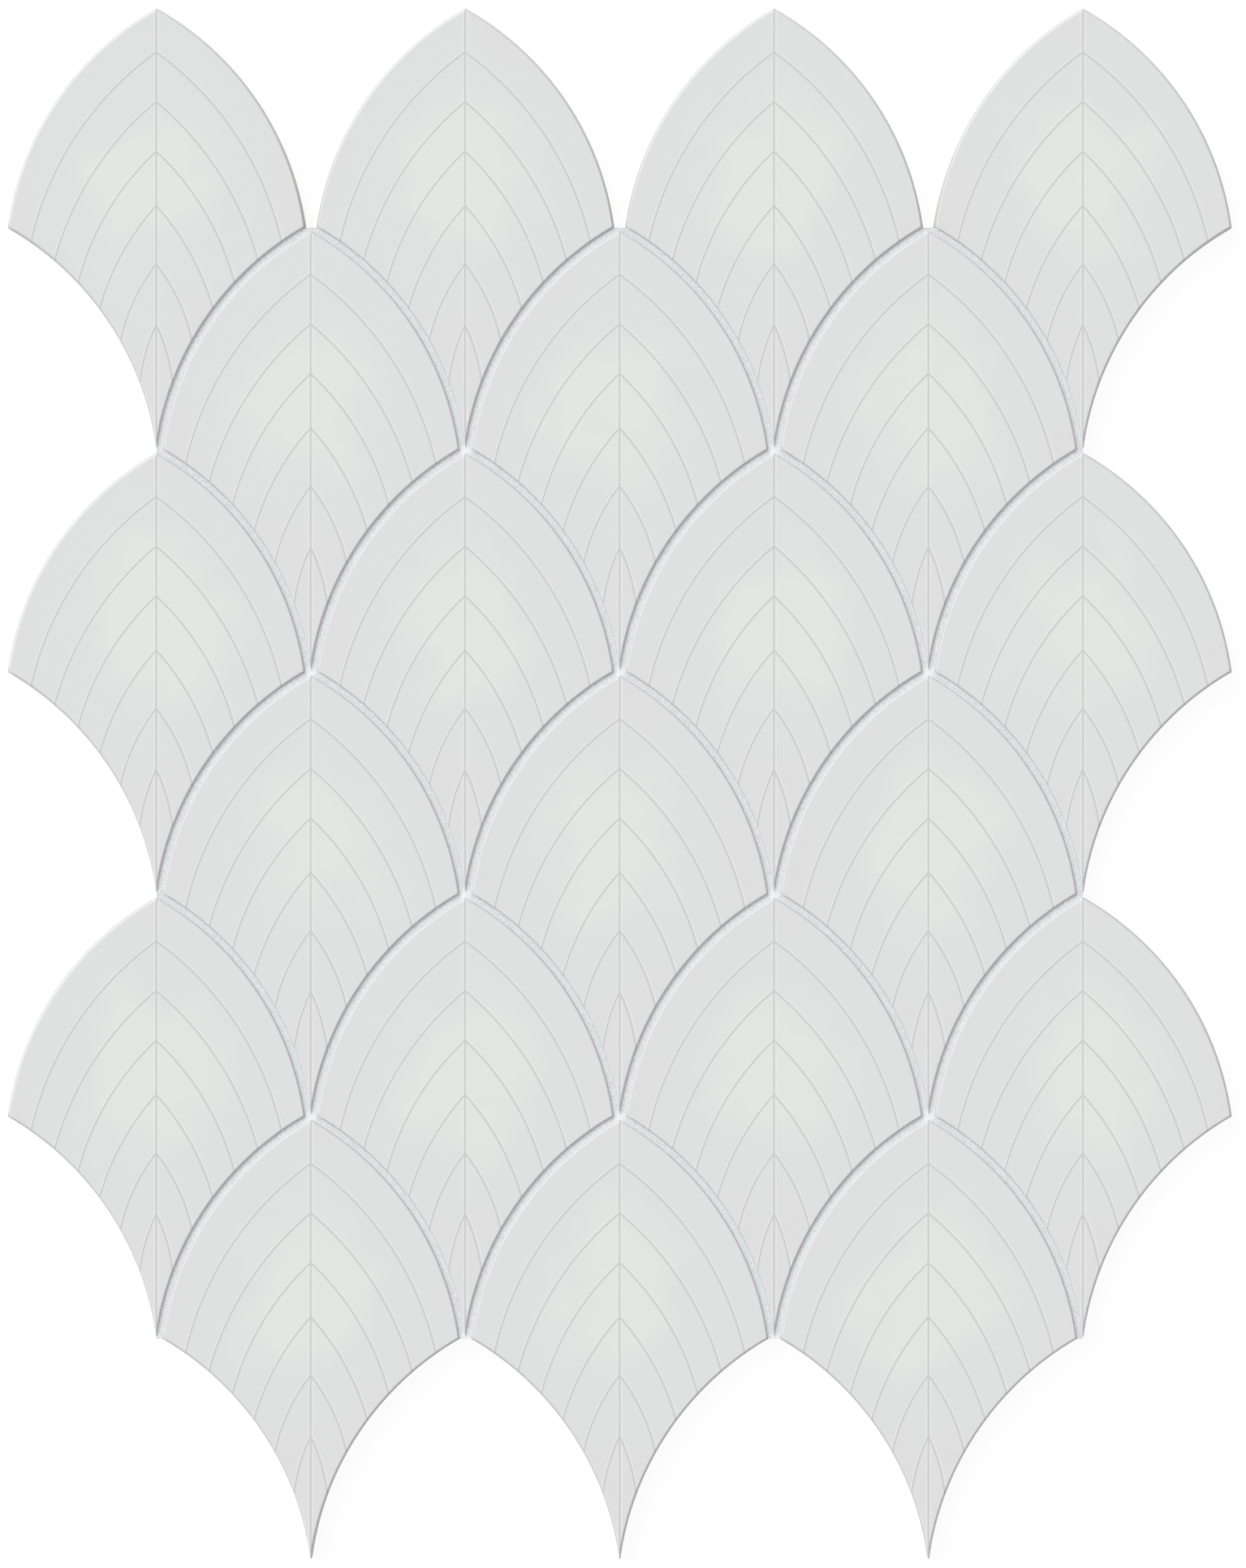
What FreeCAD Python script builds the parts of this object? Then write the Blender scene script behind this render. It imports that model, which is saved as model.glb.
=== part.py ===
import FreeCAD, Part
import math
import os
import Sketcher

# A sheet of leaf-shaped fish scale tiles, face up, lying flat on its mesh backing.
# Millimetres. +Z is up out of the face, +Y runs towards the tile tips, and the sheet's
# outline is centred on the origin with its underside at Z = 0.

# Driving dimensions: alias, value and what it measures. Angles are in degrees.
SIZES = [
    ("tile_pitch", 76.2, "from one tile's axis to the next along a row"),
    ("joint_width", 1.25, "gap between neighbouring tiles"),
    ("tip_half_angle", 60.77, "between a tile's axis and its edge at the tip"),
    ("foot_half_angle", 6.89, "between a tile's axis and its edge at the foot"),
    ("tile_thickness", 7.5, "tile from its back to its face"),
    ("arris", 0.65, "width of the bevel round the face"),
    ("grout_recess", 0.8, "how far the grout stays below the face"),
    ("mesh_thickness", 0.5, "mesh and the glue it lies in"),
    ("mesh_inset", 5.0, "how far the mesh stays inside the rim tiles' edges"),
]

# Tiles in each row, from the top of the sheet to its foot.
TILES_IN_ROW = [4, 3, 4, 3, 4, 3]
ROW_STEPS = len(TILES_IN_ROW) - 1
COLUMN_STEPS = max(TILES_IN_ROW) - 1

# Dimensions that follow from the driving ones. A tile's tip is between two arches, and its
# foot between two hollows that run one joint outside the arches of the two tiles below, so
# both angles and the pitch settle the radius, and the rows then close up tip to foot.
LAYOUT = [
    (
        "arch_radius",
        "=(Sizes.tile_pitch / 2 - Sizes.joint_width * cos(Sizes.foot_half_angle))"
        " / (cos(Sizes.foot_half_angle) - cos(Sizes.tip_half_angle))",
        "radius of the arches that meet at the tip",
    ),
    ("arch_across", "=arch_radius * cos(Sizes.tip_half_angle)", "arch centre from the tile's axis"),
    ("arch_drop", "=arch_radius * sin(Sizes.tip_half_angle)", "arch centre below the tip"),
    ("hollow_radius", "=arch_radius + Sizes.joint_width", "radius of the hollows beside the foot"),
    ("hollow_across", "=Sizes.tile_pitch / 2 + arch_across", "hollow centre from the tile's axis"),
    ("row_pitch", "=arch_drop - hollow_radius * sin(Sizes.foot_half_angle)", "from row to row"),
    ("hollow_drop", "=row_pitch + arch_drop", "hollow centre below the tip"),
    ("tile_height", "=2 * row_pitch - Sizes.joint_width", "tip to blunt foot"),
    ("top_tips", f"=({ROW_STEPS} * row_pitch + tile_height) / 2", "top row's tips from the middle"),
    ("field_width", f"={COLUMN_STEPS} * Sizes.tile_pitch", "field of joints across the rows"),
    ("field_height", f"={ROW_STEPS} * row_pitch", "field of joints from row to row"),
    ("field_top", "=top_tips - row_pitch + Sizes.joint_width / 2", "top edge of the field of joints"),
]

os.makedirs("parts", exist_ok=True)
doc = FreeCAD.newDocument("FishScaleSheet")


def make_sheet(name, rows):
    """A spreadsheet with one named value in each row."""
    sheet = doc.addObject("Spreadsheet::Sheet", name)
    for row, (alias, value, meaning) in enumerate(rows, start=1):
        sheet.set(f"A{row}", alias)
        sheet.setAlias(f"B{row}", alias)
        sheet.set(f"B{row}", str(value))
        sheet.set(f"C{row}", meaning)
    doc.recompute()
    return sheet


sizes = make_sheet("Sizes", SIZES)
layout = make_sheet("Layout", LAYOUT)


def origin_plane(body, role):
    return next(plane for plane in body.Origin.OriginFeatures if plane.Role == role)


def new_sketch(body, name, role):
    """An empty sketch on one of the body's own origin planes."""
    sketch = body.newObject("Sketcher::SketchObject", name)
    sketch.AttachmentSupport = [(origin_plane(body, role), "")]
    sketch.MapMode = "FlatFace"
    return sketch


def bind(sketch, name, expression, kind, *where):
    """Adds a dimension to a sketch and ties it to an expression."""
    start = float(sketch.evalExpression(expression))
    index = sketch.addConstraint(Sketcher.Constraint(kind, *where, start))
    sketch.renameConstraint(index, name)
    sketch.setExpression(f"Constraints.{name}", expression)


def circles_meet(one, one_radius, two, two_radius):
    """Where two circles cross, taking the crossing that lies higher."""
    across = two - one
    along = (across.Length ** 2 + one_radius ** 2 - two_radius ** 2) / (2 * across.Length)
    reach = math.sqrt(one_radius ** 2 - along ** 2)
    middle = one + across * (along / across.Length)
    side = FreeCAD.Vector(-across.y, across.x, 0) * (reach / across.Length)
    return max(middle + side, middle - side, key=lambda point: point.y)


def arc_between(centre, radius, start, end):
    """The arc about a centre that runs counter-clockwise from start to end."""
    circle = Part.Circle(centre, FreeCAD.Vector(0, 0, 1), radius)
    first = circle.parameter(start)
    last = circle.parameter(end)
    if last < first:
        last += 2 * math.pi
    return Part.ArcOfCircle(circle, first, last)


def flip(point):
    """The same point on the other side of the tile's axis."""
    return FreeCAD.Vector(-point.x, point.y, 0)


def draw_leaf(sketch, inset):
    """The leaf outline, set in by an expression: two arches that meet at the tip, and two
    hollows that meet at the foot. With no inset the tip is at the sketch's origin."""
    set_in = float(sketch.evalExpression(inset))
    arch_radius = layout.arch_radius - set_in
    hollow_radius = layout.hollow_radius + set_in
    arch = FreeCAD.Vector(-layout.arch_across, -layout.arch_drop, 0)
    hollow = FreeCAD.Vector(layout.hollow_across, -layout.hollow_drop, 0)

    tip = FreeCAD.Vector(0, arch.y + math.sqrt(arch_radius ** 2 - arch.x ** 2), 0)
    foot = FreeCAD.Vector(0, hollow.y + math.sqrt(hollow_radius ** 2 - hollow.x ** 2), 0)
    corner = circles_meet(arch, arch_radius, hollow, hollow_radius)

    right_arch = sketch.addGeometry(arc_between(arch, arch_radius, corner, tip))
    left_arch = sketch.addGeometry(arc_between(flip(arch), arch_radius, tip, flip(corner)))
    left_hollow = sketch.addGeometry(arc_between(flip(hollow), hollow_radius, foot, flip(corner)))
    right_hollow = sketch.addGeometry(arc_between(hollow, hollow_radius, corner, foot))

    start, end, centre = 1, 2, 3
    origin = (-1, 1)
    for ends in (
        (right_arch, end, left_arch, start),
        (left_arch, end, left_hollow, end),
        (left_hollow, start, right_hollow, end),
        (right_hollow, start, right_arch, start),
    ):
        sketch.addConstraint(Sketcher.Constraint("Coincident", *ends))

    arch_size = f"Layout.arch_radius - {inset}"
    hollow_size = f"Layout.hollow_radius + {inset}"
    for name, curve, radius, place, on_left in (
        ("right_arch", right_arch, arch_size, "arch", True),
        ("left_arch", left_arch, arch_size, "arch", False),
        ("left_hollow", left_hollow, hollow_size, "hollow", True),
        ("right_hollow", right_hollow, hollow_size, "hollow", False),
    ):
        middle = (curve, centre)
        across = (*middle, *origin) if on_left else (*origin, *middle)
        bind(sketch, f"{name}_radius", radius, "Radius", curve)
        bind(sketch, f"{name}_across", f"Layout.{place}_across", "DistanceX", *across)
        bind(sketch, f"{name}_drop", f"Layout.{place}_drop", "DistanceY", *middle, *origin)


def draw_foot_cut(sketch):
    """A rectangle across the axis that takes the last joint's width off the thin foot."""
    half = sizes.joint_width
    top = -layout.tile_height
    corners = [
        FreeCAD.Vector(half, top, 0),
        FreeCAD.Vector(-half, top, 0),
        FreeCAD.Vector(-half, top - 2 * half, 0),
        FreeCAD.Vector(half, top - 2 * half, 0),
    ]
    start, end = 1, 2
    origin = (-1, 1)
    ends = corners[1:] + corners[:1]
    top_side, left_side, bottom_side, right_side = sketch.addGeometry(
        [Part.LineSegment(first, last) for first, last in zip(corners, ends)]
    )
    around = [top_side, left_side, bottom_side, right_side]
    for before, side in zip(around[-1:] + around, around):
        sketch.addConstraint(Sketcher.Constraint("Coincident", before, end, side, start))
    for side in (top_side, bottom_side):
        sketch.addConstraint(Sketcher.Constraint("Horizontal", side))
    for side in (left_side, right_side):
        sketch.addConstraint(Sketcher.Constraint("Vertical", side))
    bind(sketch, "foot_level", "Layout.tile_height", "DistanceY", top_side, end, *origin)
    bind(sketch, "cut_left", "Sizes.joint_width", "DistanceX", top_side, end, *origin)
    bind(sketch, "cut_right", "Sizes.joint_width", "DistanceX", *origin, top_side, start)
    bind(sketch, "cut_depth", "2 * Sizes.joint_width", "DistanceY", left_side, end, left_side, start)


def edges_at(shape, height):
    """Names of the edges that lie wholly at one height."""
    return [
        f"Edge{index}"
        for index, edge in enumerate(shape.Edges, start=1)
        if all(math.isclose(vertex.Z, height, abs_tol=1e-6) for vertex in edge.Vertexes)
    ]


def make_tile_pattern():
    """One tile with its tip at the origin and its back at Z = 0: a pressed leaf with a
    bevelled face, and its thin foot cut blunt one joint short of the tip below."""
    body = doc.addObject("PartDesign::Body", "TilePattern")
    outline = new_sketch(body, "TileOutline", "XY_Plane")
    draw_leaf(outline, "0")
    slab = body.newObject("PartDesign::Pad", "TileSlab")
    slab.Profile = outline
    slab.setExpression("Length", "Sizes.tile_thickness")
    doc.recompute()

    bevel = body.newObject("PartDesign::Chamfer", "TileArris")
    bevel.Base = (slab, edges_at(slab.Shape, sizes.tile_thickness))
    bevel.setExpression("Size", "Sizes.arris")
    doc.recompute()

    foot_cut = new_sketch(body, "FootCut", "XY_Plane")
    draw_foot_cut(foot_cut)
    blunt = body.newObject("PartDesign::Pocket", "BluntFoot")
    blunt.Profile = foot_cut
    blunt.Type = "ThroughAll"
    blunt.Midplane = True
    doc.recompute()
    if not blunt.Shape.Volume < bevel.Shape.Volume < slab.Shape.Volume:
        raise RuntimeError("the bevel or the foot cut took nothing off the tile")
    return body


def make_mesh_leaf():
    """The tile's leaf set in from its edges, as thick as the mesh."""
    body = doc.addObject("PartDesign::Body", "MeshLeaf")
    outline = new_sketch(body, "MeshOutline", "XY_Plane")
    draw_leaf(outline, "Sizes.mesh_inset")
    slab = body.newObject("PartDesign::Pad", "MeshSlab")
    slab.Profile = outline
    slab.setExpression("Length", "Sizes.mesh_thickness")
    doc.recompute()
    return body


def place(thing, x, y, z):
    """Ties an object's place to expressions."""
    thing.setExpression(".Placement.Base.x", x)
    thing.setExpression(".Placement.Base.y", y)
    thing.setExpression(".Placement.Base.z", z)


def copy_of(pattern, label):
    """A body of its own that follows a pattern body."""
    body = doc.addObject("PartDesign::Body", label)
    body.Label = label
    clone = body.newObject("PartDesign::FeatureBase", f"{label}_shape")
    clone.BaseFeature = pattern
    return body


def tile_places():
    """Row, column and the expressions for the tip of every tile, from the top left."""
    for row, count in enumerate(TILES_IN_ROW):
        for column in range(count):
            steps = column - (count - 1) / 2
            x = f"{steps} * Sizes.tile_pitch"
            y = f"Layout.top_tips - {row} * Layout.row_pitch"
            yield row, column, x, y


def is_on_rim(row, column):
    """Whether a tile reaches past the field of joints, where the mesh needs a leaf of its own."""
    long_row = TILES_IN_ROW[row] == max(TILES_IN_ROW)
    row_end = column in (0, TILES_IN_ROW[row] - 1)
    return row in (0, ROW_STEPS) or (long_row and row_end)


def make_tiles(pattern):
    """Every tile of the sheet, each a body of its own on the mesh."""
    tiles = []
    for row, column, x, y in tile_places():
        tile = copy_of(pattern, f"tile_r{row + 1}_c{column + 1}")
        place(tile, x, y, "Sizes.mesh_thickness")
        tiles.append(tile)
    doc.recompute()
    return tiles


def field_box(name, bottom, height):
    """A slab over the field of joints, which ends at the outer tiles' axes and at the
    corners of the first and last rows' tiles."""
    box = doc.addObject("Part::Box", name)
    box.setExpression("Length", "Layout.field_width")
    box.setExpression("Width", "Layout.field_height")
    box.setExpression("Height", height)
    place(box, "-Layout.field_width / 2", "Layout.field_top - Layout.field_height", bottom)
    return box


def make_grout(tiles):
    """The grout between the tiles, from the mesh to just under the bevels."""
    depth = "Sizes.tile_thickness - Sizes.grout_recess"
    laid = doc.addObject("Part::Compound", "LaidTiles")
    laid.Links = tiles
    grout = doc.addObject("Part::Cut", "joint_grout")
    grout.Label = "joint_grout"
    grout.Base = field_box("GroutField", "Sizes.mesh_thickness", depth)
    grout.Tool = laid
    doc.recompute()
    return grout


def make_mesh(leaf):
    """The mesh sheet: the field of joints and a leaf under each tile on the rim."""
    pieces = [field_box("MeshField", "0", "Sizes.mesh_thickness")]
    for row, column, x, y in tile_places():
        if is_on_rim(row, column):
            rim_leaf = copy_of(leaf, f"mesh_leaf_r{row + 1}_c{column + 1}")
            place(rim_leaf, x, y, "0")
            pieces.append(rim_leaf)
    mesh = doc.addObject("Part::MultiFuse", "mesh_backing")
    mesh.Label = "mesh_backing"
    mesh.Shapes = pieces
    mesh.Refine = True
    doc.recompute()
    return mesh


def check(parts):
    """Stops before anything is written if a feature failed or a piece isn't a sound solid."""
    for thing in doc.Objects:
        if "Invalid" in thing.State or "Error" in thing.State:
            raise RuntimeError(f"{thing.Name} failed: {thing.State}")
    for part in parts:
        if part.Shape.isNull() or not part.Shape.isValid():
            raise RuntimeError(f"{part.Label} has no valid shape")
        if len(part.Shape.Solids) != 1:
            raise RuntimeError(f"{part.Label} is {len(part.Shape.Solids)} solids")


tiles = make_tiles(make_tile_pattern())
parts = tiles + [make_grout(tiles), make_mesh(make_mesh_leaf())]
doc.recompute()
check(parts)
for part in parts:
    part.Shape.exportStep(f"parts/{part.Label}.step")
    print(f"{part.Label}: {part.Shape.Volume:.1f} mm3")
print(f"arch radius {layout.arch_radius:.3f}, row pitch {layout.row_pitch:.3f}")
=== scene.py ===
import math
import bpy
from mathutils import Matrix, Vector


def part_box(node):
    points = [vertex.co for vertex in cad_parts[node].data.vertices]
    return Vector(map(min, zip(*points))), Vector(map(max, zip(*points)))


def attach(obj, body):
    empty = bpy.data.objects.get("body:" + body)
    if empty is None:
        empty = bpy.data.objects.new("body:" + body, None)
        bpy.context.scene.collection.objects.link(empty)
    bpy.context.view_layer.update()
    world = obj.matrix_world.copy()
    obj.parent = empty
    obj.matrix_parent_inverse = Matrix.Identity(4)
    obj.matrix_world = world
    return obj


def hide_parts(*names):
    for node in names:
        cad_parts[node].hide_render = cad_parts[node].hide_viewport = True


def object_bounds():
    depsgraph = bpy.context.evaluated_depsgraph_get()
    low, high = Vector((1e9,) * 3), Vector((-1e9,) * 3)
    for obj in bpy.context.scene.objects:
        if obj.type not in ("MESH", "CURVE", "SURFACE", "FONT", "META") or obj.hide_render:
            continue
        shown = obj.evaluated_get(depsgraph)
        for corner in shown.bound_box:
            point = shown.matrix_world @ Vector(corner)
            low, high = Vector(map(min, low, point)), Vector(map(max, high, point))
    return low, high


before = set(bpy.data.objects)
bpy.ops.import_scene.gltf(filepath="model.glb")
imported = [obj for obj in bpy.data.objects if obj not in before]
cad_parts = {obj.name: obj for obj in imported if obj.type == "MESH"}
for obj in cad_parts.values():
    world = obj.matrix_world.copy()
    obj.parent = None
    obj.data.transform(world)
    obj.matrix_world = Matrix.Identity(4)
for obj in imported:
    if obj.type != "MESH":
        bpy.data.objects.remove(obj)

from types import SimpleNamespace

import bmesh
import bpy
import numpy as np
from bpy.props import FloatProperty, FloatVectorProperty, PointerProperty
from mathutils import Vector
from mathutils.bvhtree import BVHTree
from mathutils.geometry import delaunay_2d_cdt

bl_info = {
    "name": "Fish scale tile sheet",
    "version": (1, 0, 0),
    "blender": (4, 5, 0),
    "location": "View3D > Sidebar > Tile sheet",
    "description": "Dresses a sheet of leaf-shaped tiles with veined glaze, grout and woven mesh",
    "category": "Add Mesh",
}

# The model is in metres, and the leaf is drawn in millimetres with its tip at the origin.
MM = 0.001

CAD_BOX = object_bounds()

# The picture is taller than it is wide, so Blender fits the sensor to the picture's height.
SENSOR_HEIGHT = 0.036

# Side veins of the leaf, from the tip down: where each leaves the axis below the tip and its
# radius, in millimetres, and its angle to the axis where it leaves, in degrees.
SIDE_VEINS = (
    (10.96, 78.76, 54.27),
    (23.18, 77.13, 50.17),
    (35.43, 67.70, 46.93),
    (48.83, 62.78, 42.14),
    (63.23, 47.08, 37.87),
    (78.28, 45.80, 25.34),
)

# Where a face has lines of its mesh along a vein, in half widths from the vein's middle.
VEIN_LINES = (-2.0, -1.5, -1.0, -0.6, -0.3, 0.0, 0.3, 0.6, 1.0, 1.5, 2.0)

# A vein's lip: how far its crest lies from the vein's middle, and half its width, in half widths.
LIP_OFF = 1.5
LIP_HALF = 0.5

# Loose points of a face's mesh: how far apart they lie and how far they keep from the bevel, in
# millimetres, and how far they keep from a vein's middle, in half widths.
FACE_GRID = 2.5
BEVEL_MARGIN = 0.6
VEIN_MARGIN = 3.0

# The lighter middle of a face, in millimetres: how far its middle lies below the tip, and
# how far it reaches across the leaf and along it.
MIDDLE_DROP = 42.0
MIDDLE_ACROSS = 40.0
MIDDLE_ALONG = 47.06

# Where a joint has rows of points in its mesh, in shares of its width.
JOINT_ROWS = (0.1, 0.3, 0.5, 0.7, 0.9)

# The paler grout where joints meet, in millimetres: how far it reaches, the half width and half
# height of the field of points set round it, and how far apart these lie.
BLOOM_REACH = 2.2
BLOOM_ACROSS = 2.4
BLOOM_ALONG = 1.4
BLOOM_GRID = 0.4

# Places of a plan this close together, in millimetres, are one.
TOGETHER = 1e-5

# Triangles of a face that are narrower than this, in millimetres, are closed up.
LEAST_WIDTH = 0.004

# How often a search halves the stretch that it looks through.
HALVINGS = 60

# Which sockets of Blender's mix node take its two numbers, its two vectors and its two colours.
MIX_NUMBERS = (2, 3)
MIX_VECTORS = (4, 5)
MIX_COLOURS = (6, 7)


def paint(red, green, blue):
    """A colour given from 0 to 255, as a screen shows it, in Blender's linear values."""
    shares = [value / 255 for value in (red, green, blue)]
    return tuple(
        share / 12.92 if share <= 0.04045 else ((share + 0.055) / 1.055) ** 2.4 for share in shares
    )


def length(name, description, default):
    """A size in metres that a user may change."""
    return FloatProperty(
        name=name,
        description=description,
        default=default,
        precision=5,
        unit="LENGTH",
    )


def angle(name, description, degrees):
    """An angle that a user may change."""
    return FloatProperty(
        name=name,
        description=description,
        default=math.radians(degrees),
        subtype="ANGLE",
    )


def colour(name, description, default):
    """A colour that a user may change."""
    return FloatVectorProperty(
        name=name,
        description=description,
        default=default,
        size=3,
        min=0.0,
        max=1.0,
        subtype="COLOR",
    )


class LeafTileProperties(bpy.types.PropertyGroup):
    """Sizes and colours of the glazed leaf tiles."""

    tip_half_angle: angle("Tip half angle", "Between the axis and the edge at the tip", 60.77)
    foot_half_angle: angle("Foot half angle", "Between the axis and the edge at the foot", 6.89)
    arris: length("Arris", "Width of the bevel round the face", 0.0004)
    arris_tilt: angle("Arris tilt", "How steeply the bevel falls from the face to the side", 70.0)
    arris_easing: length("Arris easing", "Half width of the run from face to bevel", 0.00025)
    vein_width: length("Vein width", "Width of a vein's groove", 0.00067)
    vein_depth: length("Vein depth", "Depth of a vein's groove", 0.00004)
    vein_lip: length("Vein lip", "Height of the lip raised beside a vein", 0.00002)
    step: length("Step", "Length of the mesh's sides along edges and veins", 0.0016)
    glaze_skirt: length("Glaze skirt", "How far the glaze runs down the tile's sides", 0.0026)
    # The face is lighter in its middle, cooler round it and greyer towards its edges.
    glaze: colour("Glaze", "Satin glaze pooled in the middle of the face", paint(226, 228, 226))
    cool_glaze: colour("Cool glaze", "Satin glaze round the pooled middle", paint(222, 223, 223))
    outer_glaze: colour("Thin glaze", "Satin glaze towards the tile's edges", paint(222, 222, 222))
    # Painted shade: a darker colour laid over the bevel for its shade.
    painted_bevel_shade: colour("Edge glaze", "Glaze that pulled thin over the bevel", paint(205, 206, 205))
    # Painted highlight: a lighter colour on the veins' raised lips for the light they catch.
    painted_lip_highlight: colour("Lip glaze", "Glaze on the veins' raised lips", paint(232, 234, 232))
    # Painted shade: a darker colour in the veins' grooves for their shade.
    painted_vein_shade: colour("Vein glaze", "Glaze that settled in the veins", paint(200, 201, 200))
    biscuit: colour("Biscuit", "Fired body on the sides and the back", paint(225, 222, 215))


class JointProperties(bpy.types.PropertyGroup):
    """Sizes and colours of the grouted joints."""

    stand_off: length("Stand-off", "How far the grout stays clear of the tiles' backs", 0.00006)
    recess: length("Recess", "How far the grout's edges stay below the face", 0.00077)
    dish: length("Dish", "How far the tooled joint sinks in its middle", 0.00012)
    bite: length("Bite", "How far the grout reaches into the tiles' sides", 0.00018)
    pale_sand: colour("Pale sand", "Lighter grains of the grout", paint(233, 236, 237))
    grey_sand: colour("Grey sand", "Darker grains of the grout", paint(203, 207, 208))
    # Paler grout where the joints meet.
    meeting_tint: colour("Lime", "Pale bloom where the joints meet", paint(240, 241, 242))


class BackingProperties(bpy.types.PropertyGroup):
    """Sizes and colours of the woven mesh."""

    cell: length("Cell", "From one yarn to the next", 0.005)
    yarn_width: length("Yarn width", "Width of a flattened yarn", 0.0011)
    yarn_thickness: length("Yarn thickness", "Thickness of a flattened yarn", 0.00022)
    yarn: colour("Yarn", "Glass yarn of the mesh", paint(238, 237, 230))
    yarn_shade: colour("Yarn shade", "Between the yarn's filaments", paint(214, 212, 202))


class StageProperties(bpy.types.PropertyGroup):
    """Floor, light and camera."""

    lens: FloatProperty(
        name="Lens",
        description="Focal length of the camera in millimetres",
        default=200.0,
        unit="CAMERA",
    )
    view_height: length("View height", "What the picture's height spans at the face", 0.38691)
    view_right: length("View right", "How far the camera stands right of the middle", 0.0008)
    view_up: length("View up", "How far the camera stands above the middle", -0.00014)
    key_azimuth: angle("Key azimuth", "Where the key light stands, from +X towards +Y", 136.0)
    key_height: angle("Key height", "How high the key light stands above the floor", 47.5)
    key_softness: angle("Key softness", "How wide the key light looks from the sheet", 45.0)
    key_share: FloatProperty(
        name="Key share",
        description="Share of the face's light that comes from the key light",
        default=0.57,
        min=0.0,
        max=1.0,
        subtype="FACTOR",
    )
    shadow: FloatProperty(
        name="Shadow",
        description="How much of the sheet's shadow the white floor shows",
        default=0.09,
        min=0.0,
        max=1.0,
        subtype="FACTOR",
    )


class TileSheetProperties(bpy.types.PropertyGroup):
    """Everything that a user would change on the sheet."""

    tiles: PointerProperty(type=LeafTileProperties)
    joints: PointerProperty(type=JointProperties)
    backing: PointerProperty(type=BackingProperties)
    stage: PointerProperty(type=StageProperties)


def box_in_mm(name):
    """Lowest and highest corner of a CAD node, in millimetres."""
    low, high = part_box(name)
    return np.array(low) / MM, np.array(high) / MM


def tile_nodes():
    """Names of the frame's tiles, from the top left."""
    return sorted(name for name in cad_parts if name.startswith("tile_"))


def tip_of(name):
    """Where a tile's tip lies on the sheet, in millimetres."""
    low, high = box_in_mm(name)
    return (low[0] + high[0]) / 2, high[1]


def draw_leaf(sizes):
    """The leaf's arcs and levels, from the frame's own tiles and the two half angles."""
    low, high = box_in_mm("tile_r1_c1")
    beside, _ = box_in_mm("tile_r1_c2")
    _, below = box_in_mm("tile_r2_c1")
    leaf = SimpleNamespace()
    leaf.pitch = beside[0] - low[0]
    leaf.row_pitch = high[1] - below[1]
    leaf.height = high[1] - low[1]
    leaf.joint = 2 * leaf.row_pitch - leaf.height
    leaf.back = low[2]
    leaf.face = high[2]
    tip = sizes.tip_half_angle
    foot = sizes.foot_half_angle
    reach = leaf.pitch / 2 - leaf.joint * math.cos(foot)
    leaf.arch_radius = reach / (math.cos(foot) - math.cos(tip))
    leaf.hollow_radius = leaf.arch_radius + leaf.joint
    leaf.arch_across = leaf.arch_radius * math.cos(tip)
    leaf.arch_drop = leaf.arch_radius * math.sin(tip)
    leaf.hollow_across = leaf.pitch / 2 + leaf.arch_across
    leaf.hollow_drop = leaf.row_pitch + leaf.arch_drop
    leaf.arris = sizes.arris / MM
    leaf.arris_fall = math.tan(sizes.arris_tilt)
    leaf.arris_easing = sizes.arris_easing / MM
    leaf.vein_half = sizes.vein_width / MM / 2
    leaf.vein_depth = sizes.vein_depth / MM
    leaf.vein_lip = sizes.vein_lip / MM
    leaf.step = sizes.step / MM
    leaf.veins = []
    for start, radius, degrees in SIDE_VEINS:
        turn = math.radians(degrees)
        centre = (-radius * math.cos(turn), -start - radius * math.sin(turn))
        leaf.veins.append((centre, radius))
    return leaf


def inside_edge(leaf, x, y):
    """How far points lie inside the leaf's outline, and below zero outside it."""
    x = np.abs(x)
    arch = leaf.arch_radius - np.hypot(x + leaf.arch_across, y + leaf.arch_drop)
    hollow = np.hypot(x - leaf.hollow_across, y + leaf.hollow_drop) - leaf.hollow_radius
    return np.minimum(np.minimum(arch, hollow), y + leaf.height)


def off_veins(leaf, x, y):
    """How far points lie from the middle of each vein in half widths, and below zero on the
    inner side of a side vein."""
    x = np.abs(x)
    sides = [np.hypot(x - across, y - up) - radius for (across, up), radius in leaf.veins]
    return [off / leaf.vein_half for off in (x, *sides)]


def hump(off):
    """A smooth hump that is 1 in its middle and ends one unit either side of it."""
    return (1 - np.minimum(np.abs(off), 1) ** 2) ** 2


def over_bevel(leaf, x, y):
    """How much of the veins is left at points: 1 on the face and 0 at the bevel's outer edge."""
    return np.clip(inside_edge(leaf, x, y) / leaf.arris, 0, 1)


def groove_share(leaf, x, y):
    """How deep points lie in a vein's groove, from 0 on the face to 1 at its bottom."""
    grooves = np.max([hump(off) for off in off_veins(leaf, x, y)], axis=0)
    return grooves * over_bevel(leaf, x, y)


def lip_share(leaf, x, y):
    """How high points lie on the lip that runs along the outer side of every vein."""
    offs = off_veins(leaf, x, y)
    lips = np.max([hump((off - LIP_OFF) / LIP_HALF) for off in offs], axis=0)
    return lips * over_bevel(leaf, x, y) * (1 - groove_share(leaf, x, y))


def face_height(leaf, x, y):
    """Height of a face's points from the frame's face, which its lips reach from below."""
    out = leaf.arris - inside_edge(leaf, x, y)
    eased = np.maximum(1 - np.abs(out) / leaf.arris_easing, 0)
    bevel = leaf.arris_fall * (np.maximum(out, 0) + eased ** 2 * leaf.arris_easing / 4)
    groove = leaf.vein_depth * groove_share(leaf, x, y)
    return leaf.vein_lip * (lip_share(leaf, x, y) - 1) - groove - bevel


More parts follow.
